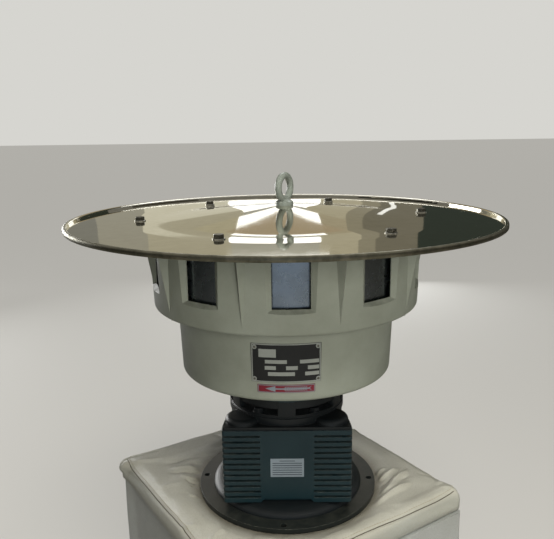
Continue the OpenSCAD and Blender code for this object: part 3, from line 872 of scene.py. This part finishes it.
# creases: start and end beside the shaft in mm, height, half width
padCreases = [
    (158, 7, 171, 23, 4.0, 3.2), (159, -12, 190, 20, 5.4, 3.6), (155, -50, 209, 12, 6.4, 4.2),
    (145, -79, 204, -23, 5.6, 4.2), (160, -28, 198, 14, -3.6, 3.2), (164, -45, 206, -2, -4.0, 3.2),
    (188, -90, 284, -33, 3.0, 5.5), (252, -24, 288, -17, 2.4, 4.0), (230, 10, 262, 2, -1.6, 4.0),
    (-204, 13, -154, 21, -4.0, 3.8), (-173, -12, -151, -12, -3.6, 2.8),
    (-163, -27, -149, -24, -3.4, 2.6), (-217, 45, -143, 84, -3.2, 5.5),
    (-195, 33, -156, 47, -2.6, 4.0), (-161, -57, -150, -53, 2.6, 4.0),
    (-205, 26, -164, 34, 3.2, 4.0), (-185, -1, -154, 0, 2.6, 3.0),
    (-176, -134, -140, -141, 2.4, 4.0), (-214, -30, -180, -24, 1.4, 6.0),
    (-308, 60, -272, 70, -4.0, 3.0), (-276, 69, -240, 86, -3.2, 3.2),
    (-280, 52, -236, 60, 2.4, 5.0), (-120, -186, -96, -150, 1.8, 5.0),
    (40, -214, 20, -170, -1.6, 5.0), (118, 150, 150, 190, 2.0, 5.0),
    (-60, 205, -40, 160, 2.0, 5.0), (60, 210, 48, 165, -1.8, 5.0), (-150, 150, -120, 120, 2.0, 5.0),
]


def padOutline(shape, grow):
    # the lid's outline in the plinth's own axes; grow runs from the seams to the skirt
    s, k = shape["sides"], shape["skirt"]
    points = []
    for x, y in roundedSquare(1.0, shape["corner"] / shape["half"], 40, 8):
        side, end = "right" if x > 0 else "left", "back" if y > 0 else "front"
        points.append((x * (s[side] + grow * k[side]), y * (s[end] + grow * k[end])))
    return points


def seamLift(x, y, shape):
    # height of the nearest seams over the siren's foot at a place in the plinth's own axes
    s, lifts, reach = shape["sides"], shape["lifts"], shape["reach"]
    gaps = {"right": s["right"] - x, "left": s["left"] + x,
            "back": s["back"] - y, "front": s["front"] + y}
    weights = {k: max(1e-4, 1 - max(0.0, gap) / reach) ** 2 for k, gap in gaps.items()}
    return sum(lifts[k] * w for k, w in weights.items()) / sum(weights.values())


def padTop(x, y, shape):
    # height of the pad's top over the siren's foot at a place in the plinth's own axes
    wx, wy = fromPlinth(x, y)
    spot = Vector((wx / shape["waveWide"], wy / shape["waveWide"], 0.3))
    swell = seamLift(x, y, shape) + shape["wave"] * noise.noise(spot)
    away = math.hypot(wx, wy) - shape["press"]
    swell += ridge(y + shape["sides"]["front"], *shape["roll"]) + ridge(away, *shape["puff"])
    return swell * smooth(away / shape["dent"]) - shape["sunk"]


def swollenCloth(obj, pinned, shape):
    # the pad fills out under pressure, but no point moves further than the cap
    group = obj.vertex_groups.new(name="held")
    group.add([v.index for v in obj.data.vertices if pinned(v.co)], 1.0, "REPLACE")
    start = [v.co.copy() for v in obj.data.vertices]
    cloth = obj.modifiers.new("cloth", "CLOTH")
    settings = cloth.settings
    settings.vertex_group_mass = "held"
    settings.use_pressure = True
    settings.uniform_pressure_force = shape["pressure"]
    settings.effector_weights.gravity = 0
    settings.tension_stiffness = settings.compression_stiffness = shape["stiff"]
    settings.bending_stiffness = shape["bend"]
    settings.quality = 4
    cloth.collision_settings.use_collision = False
    cloth.point_cache.frame_start, cloth.point_cache.frame_end = 1, shape["frames"]
    scene = bpy.context.scene
    for frameNumber in range(1, shape["frames"] + 1):
        scene.frame_set(frameNumber)
    swollen = obj.evaluated_get(bpy.context.evaluated_depsgraph_get()).data
    moved = [v.co.copy() for v in swollen.vertices]
    obj.modifiers.clear()
    for vertex, a, b in zip(obj.data.vertices, start, moved):
        step = b - a
        if step.length > shape["cap"]:
            step *= shape["cap"] / step.length
        vertex.co = a + step
    scene.frame_set(1)
    obj.vertex_groups.clear()


def creaseHeight(x, y, wander):
    # summed height of the creases at a place beside the shaft, in millimetres
    total = 0.0
    for x0, y0, x1, y1, high, half in padCreases:
        dx, dy = x1 - x0, y1 - y0
        length = math.hypot(dx, dy)
        t = ((x - x0) * dx + (y - y0) * dy) / length / length
        if -0.2 < t < 1.3:  # a crease fades out a little past its ends
            side = ((x - x0) * dy - (y - y0) * dx) / length + wander * math.sin(t * 3 + x0)
            ends = smooth((t + 0.15) / 0.35) * smooth((1.2 - t) / 0.45)
            total += ends * ridge(side, high, 0, half)
    return total


def shapePad(pad, shape, floorZ):
    # corners drawn out, creases laid and seams pulled in
    s = shape["sides"]
    for vertex in pad.data.vertices:
        x, y, z = vertex.co
        px, py = toPlinth(x / mm, y / mm)
        pullX = pullY = 0.0
        for sideX, sideY, reach, alongX, alongY in shape["corners"]:
            edgeX, edgeY = px * sideX - s["right"] + reach, py * sideY - s["right"] + reach
            near = smooth(edgeX / reach) * smooth(edgeY / reach)
            pullX, pullY = pullX + sideX * alongX * near, pullY + sideY * alongY * near
        upper = smooth((z - lidHeight + shape["upperFrom"] * mm) / (shape["upperOver"] * mm))
        share = shape["skirtPull"] + (1 - shape["skirtPull"]) * upper
        away = math.hypot(x, y) / mm - shape["press"]
        gap = min(abs(px - s["right"]), abs(px + s["left"]),
                  abs(py - s["back"]), abs(py + s["front"]))
        rise = creaseHeight(x / mm, y / mm, shape["creaseBend"]) * smooth((away - 1) / 8)
        z += (rise - ridge(gap, shape["groove"], 0, shape["grooveHalf"])) * upper * mm
        if away < 0:
            z = min(z, lidHeight - 0.2 * mm)
        vertex.co = plinthPoint(px + pullX * share, py + pullY * share, max(z, floorZ))


def makeLidPad(shape, high):
    floorZ = lidHeight - high * mm
    seam = padOutline(shape, 0.0)
    verts = []
    for share in shape["shares"]:
        for x, y in seam:
            x, y = x * share, y * share
            verts.append(plinthPoint(x, y, lidHeight + padTop(x, y, shape) * mm))
    for grow, drop in shape["drops"]:
        for (x, y), outer in zip(seam, padOutline(shape, grow)):
            top = padTop(x, y, shape) * (1 - drop / high)
            verts.append(plinthPoint(*outer, lidHeight + (top - drop) * mm))
    pad = stackedForm("lidPad", verts, len(seam))

    remesh = pad.modifiers.new("remesh", "REMESH")
    remesh.mode = "VOXEL"
    remesh.voxel_size = shape["voxel"]
    remesh.use_smooth_shade = True
    applyModifiers(pad)

    def held(co):
        return co.z < floorZ + 4 * mm or math.hypot(co.x, co.y) < shape["press"] * mm
    swollenCloth(pad, held, shape)
    rounder = pad.modifiers.new("rounder", "SUBSURF")
    rounder.levels = rounder.render_levels = 1
    applyModifiers(pad)
    shapePad(pad, shape, floorZ)
    pad.data.shade_smooth()
    finish(pad, "coverHide")
    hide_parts("lid_pad")
    return pad


seamLook = {
    "steps": 110, "thread": 0.7, "threadSides": 6, "threadLift": 0.1, "near": 6, "far": 9,
    "stitch": 3.4, "stitchR": 0.5, "stitchSides": 6, "stitchLift": 0.25, "spacing": 5.2,
    "inset": 3.4,  # the threads stop near and far mm short of the corners
}


def makeStitchTree():
    # stitches laid end to end along a row of points
    tree, given, result = newGroup("stitchRow", "Geometry", {
        "Row": "Geometry", "Piece": "Object", "Spacing": "Float", "Material": "Material"},
        {"Geometry": "Geometry"})
    row = addNode(tree, "GeometryNodeMeshToCurve", {"Mesh": given["Row"]})
    points = addNode(tree, "GeometryNodeCurveToPoints", {
        "Curve": row.outputs[0], "Length": given["Spacing"]}, mode="LENGTH").outputs
    copyOnPoints(tree, given, result, points["Points"], points["Rotation"])
    return tree


def tube(name, path, r, sides):
    # a closed tube with capped ends along a list of places
    verts = []
    for i, place in enumerate(path):
        ahead = (path[min(i + 1, len(path) - 1)] - path[max(i - 1, 0)]).normalized()
        level = Vector((1, 0, 0)) if abs(ahead.z) > 0.9 else Vector((0, 0, 1))
        across = ahead.cross(level).normalized()
        up = across.cross(ahead)
        for k in range(sides):
            a = 2 * math.pi * k / sides
            verts.append(place + (across * math.cos(a) + up * math.sin(a)) * r)
    return stackedForm(name, verts, sides)


def makeSeams(pad, shape, look):
    # a thread in each seam's groove and a row of stitches beside it
    surface = BVHTree.FromObject(pad, bpy.context.evaluated_depsgraph_get())
    tree = makeStitchTree()
    s, near, far, steps = shape["sides"], look["near"], look["far"], look["steps"]
    left, right, front, back = -s["left"], s["right"], -s["front"], s["back"]
    runs = {"left": ((left, back - far), (left, front + near), (1, 0)),
            "front": ((left + near, front), (right - far, front), (0, 1)),
            "right": ((right, front + far), (right, back - far), (-1, 0)),
            "back": ((right - far, back), (left + far, back), (0, -1))}

    def onPad(x, y, lift):
        above = Vector(plinthPoint(x, y, lidHeight + 60 * mm))
        return surface.ray_cast(above, Vector((0, 0, -1)))[0] + Vector((0, 0, lift * mm))

    for name, ((x0, y0), (x1, y1), inward) in runs.items():
        line = [(x0 + (x1 - x0) * i / steps, y0 + (y1 - y0) * i / steps) for i in range(steps + 1)]
        seam = [onPad(x, y, look["threadLift"]) for x, y in line]
        thread = tube(name + "SeamThread", seam, look["thread"] * mm, look["threadSides"])
        finish(thread, "seamThread")
        inX, inY = inward[0] * look["inset"], inward[1] * look["inset"]
        row = [onPad(x + inX, y + inY, look["stitchLift"]) for x, y in line]
        stitches = meshObject(name + "Stitches", row, [], [(i, i + 1) for i in range(steps)])
        ends = [Vector((0, 0, z * look["stitch"] * mm)) for z in (-0.5, -0.35, 0.35, 0.5)]
        stitch = tube("stitch", ends, look["stitchR"] * mm, look["stitchSides"])
        repeatPiece(stitches, tree, stitch, "stitchThread", {"Spacing": look["spacing"] * mm})


def makePlinthCover(s):
    outline = roundedSquare(s["boxHalf"], s["boxCorner"], 48, 8)
    top, foot, reach = lidHeight / mm - s["lidHigh"], s["foot"][-1], s["pullReach"]
    heights = [foot + (top - 20) * (i + 1) / s["rows"] for i in range(s["rows"])]
    heights = s["foot"] + heights + [top]
    verts = []
    for z in heights:
        for x, y in outline:
            spot = Vector((x / s["waveWide"], y / s["waveWide"], z / s["waveTall"]))
            drift = s["wave"] * noise.noise(spot) - s["tuck"] * (z < 1)
            grow = 1 + drift / math.hypot(x, y)
            px, py = x * grow, y * grow
            for sideX, sideY, alongX, alongY in s["pulls"]:
                near = smooth((px * sideX - s["boxHalf"] + reach) / reach)
                near *= smooth((py * sideY - s["boxHalf"] + reach) / reach)
                px, py = px + sideX * alongX * near, py + sideY * alongY * near
            verts.append(plinthPoint(px, py, z * mm))
    cover = stackedForm("plinthCover", verts, len(outline))
    sharpenEdges(cover, 60)
    finish(cover, "coverWall")
    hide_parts("plinth_walls")


lidPad = makeLidPad(padShape, plinthSizes["lidHigh"])
makeSeams(lidPad, padShape, seamLook)
makePlinthCover(plinthSizes)
print("plinth dressed")


# Floor, backdrop, lamps and the things that the hood mirrors

stageLook = {
    "floor": colour(206, 204, 198), "floorLit": colour(140, 138, 132),
    "wall": colour(214, 213, 208), "wallLit": colour(200, 198, 192),
    "floorReach": 60, "ambient": 0.22, "mirrored": 0.3, "mirroredTop": 0.85, "floorGlow": 0.6,
}


def makeStage(s):
    material, tree, shader = newMaterial("studioFloor")
    seen = addNode(tree, "LightPath").outputs["Is Camera Ray"]
    feed(tree, shader, {"Base Color": s["floorLit"], "Roughness": 0.8, "Emission Color": s["floor"],
                        "Emission Strength": mapValue(tree, seen, 0, 1, 0, s["floorGlow"])})
    r = s["floorReach"]
    corners = [(-r, -r, 0), (r, -r, 0), (r, r, 0), (-r, r, 0)]
    floor = meshObject("studioFloor", corners, [(0, 1, 2, 3)])
    floor.data.materials.append(material)
    world = bpy.data.worlds.new("studio")
    bpy.context.scene.world = world
    world.use_nodes = True
    tree = world.node_tree
    back = tree.nodes["Background"]
    rays = addNode(tree, "LightPath").outputs
    height = heightOf(tree, addNode(tree, "TexCoord").outputs["Generated"])
    sky = mapValue(tree, height, 0.1, 0.9, s["mirrored"], s["mirroredTop"])
    level = addNode(tree, "Mix", {0: rays["Is Glossy Ray"], 2: s["ambient"], 3: sky}).outputs[0]
    seen = rays["Is Camera Ray"]
    strength = addNode(tree, "Mix", {0: seen, 2: level, 3: 1.0}).outputs[0]
    feed(tree, back, {"Color": mixColour(tree, seen, s["wallLit"], s["wall"]),
                      "Strength": strength})


def addLamp(name, place, target, size, watts, tint, sheen):
    data = bpy.data.lights.new(name, "AREA")
    data.shape = "RECTANGLE"
    data.size, data.size_y = size
    data.energy = watts
    data.color = tint[:3]
    lamp = placeObject(name, data)
    lamp.location = place
    aim = Vector(target) + Vector((0, 0, lidHeight)) - Vector(place)
    lamp.rotation_euler = aim.to_track_quat("-Z", "Y").to_euler()
    lamp.visible_camera = False
    lamp.visible_glossy = sheen
    lamp.visible_diffuse = not sheen


def addCard(name, ends, heights, tint, strength, lit=False):
    # an upright glowing card between two places on the floor, for mirrors; lit ones also shade
    (x0, y0), (x1, y1), (low, high) = *ends, heights
    card = meshObject(name, [(x0, y0, low), (x1, y1, low), (x1, y1, high), (x0, y0, high)],
                      [(0, 1, 2, 3)])
    material, tree, shader = newMaterial(name)
    tree.nodes.remove(shader)
    glow = addNode(tree, "Emission", {"Color": tint, "Strength": strength})
    feed(tree, tree.nodes["Material Output"], {"Surface": glow.outputs[0]})
    card.data.materials.append(material)
    card.visible_camera = False
    card.visible_diffuse = lit
    card.visible_shadow = False
    card.visible_transmission = False


# what the hood mirrors, as spans of x and of height on a wall behind the siren, and its colour
mirroredWall = {
    "farLeft": ((-4.0, -1.3), (0.3, 5.0), (116, 115, 107), 1.2),
    "midLeft": ((-1.3, -0.96), (0.3, 5.0), (140, 137, 124), 1.2),
    "paleLeft": ((-0.96, -0.377), (0.3, 1.45), (182, 178, 160), 1.25),
    "duskLeft": ((-0.96, -0.377), (1.45, 1.84), (152, 147, 128), 1.25),
    "white": ((-0.377, 0.245), (0.3, 1.67), (252, 252, 250), 1.6),
    "paleRight": ((0.245, 0.52), (0.3, 1.84), (155, 149, 128), 1.25),
    "midRight": ((0.52, 0.64), (0.3, 5.0), (128, 123, 106), 1.2),
    "dimRight": ((0.64, 0.933), (0.3, 5.0), (104, 100, 87), 1.2),
    "greyBand": ((-0.377, 0.245), (1.67, 1.84), (150, 148, 136), 1.2),
    "whiteStrip": ((-0.407, 0.316), (1.84, 2.04), (252, 252, 250), 1.6),
    "stripLeft": ((-0.96, -0.407), (1.84, 2.04), (158, 152, 129), 1.2),
    "stripRight": ((0.316, 0.52), (1.84, 2.04), (150, 142, 120), 1.2),
    "ceiling": ((-0.96, 0.52), (2.04, 5.0), (152, 139, 116), 1.2),
    "farRight": ((0.933, 4.0), (0.3, 5.0), (46, 51, 45), 1.2),
    "glint": ((0.70, 0.735), (0.75, 1.35), (240, 240, 235), 1.1),
}
makeStage(stageLook)
warm, cool = colour(255, 252, 246), colour(246, 250, 255)
lamps = {
    # place, what it is turned to over the lid, width and height, watts, tint, only for highlights
    "keyLamp": ((0.85, -2.6, 1.45), (0, 0, 0.28), (1.8, 1.2), 54.0, warm, False),
    "fillLamp": ((0.2, -2.9, 0.85), (0, 0, 0.28), (1.2, 0.8), 5.0, cool, False),
    "lidLamp": ((0.3, -1.5, 2.7), (0, -0.1, 0), (1.0, 0.7), 50.0, warm, False),
    "topLamp": ((-0.6, -0.2, 2.9), (0, 0, 0.28), (2.4, 2.4), 4.0, cool, False),
    "sheenLamp": ((0.1, 1.9, 3.3), (0, 0, 0), (2.2, 0.9), 26.0, cool, True),
    "rearLamp": ((0.3, 3.4, 0.6), (0, 0, 0.28), (1.6, 0.9), 24.0, cool, False),
}
for name, values in lamps.items():
    addLamp(name, *values)
for name, ((x0, x1), heights, tint, strength) in mirroredWall.items():
    y = 3.15 if name == "glint" else 3.2  # the glint hangs before the wall
    addCard(name, ((x0, y), (x1, y)), heights, colour(*tint), strength)
addCard("frontPale", ((-1.2, -3.0), (1.2, -3.0)), (0.0, 1.1), colour(150, 164, 178), 0.9)
addCard("leftWindow", ((-2.9, 1.6), (-1.7, 2.9)), (0.45, 1.6), colour(250, 250, 248), 9.0)
addCard("leftDark", ((-2.6, -2.2), (-2.6, 0.9)), (0.0, 1.3), colour(40, 42, 38), 0.6, True)
addCard("rightDark", ((2.6, -1.6), (2.6, 0.9)), (0.0, 1.3), colour(66, 64, 56), 0.8, True)
print("stage set")
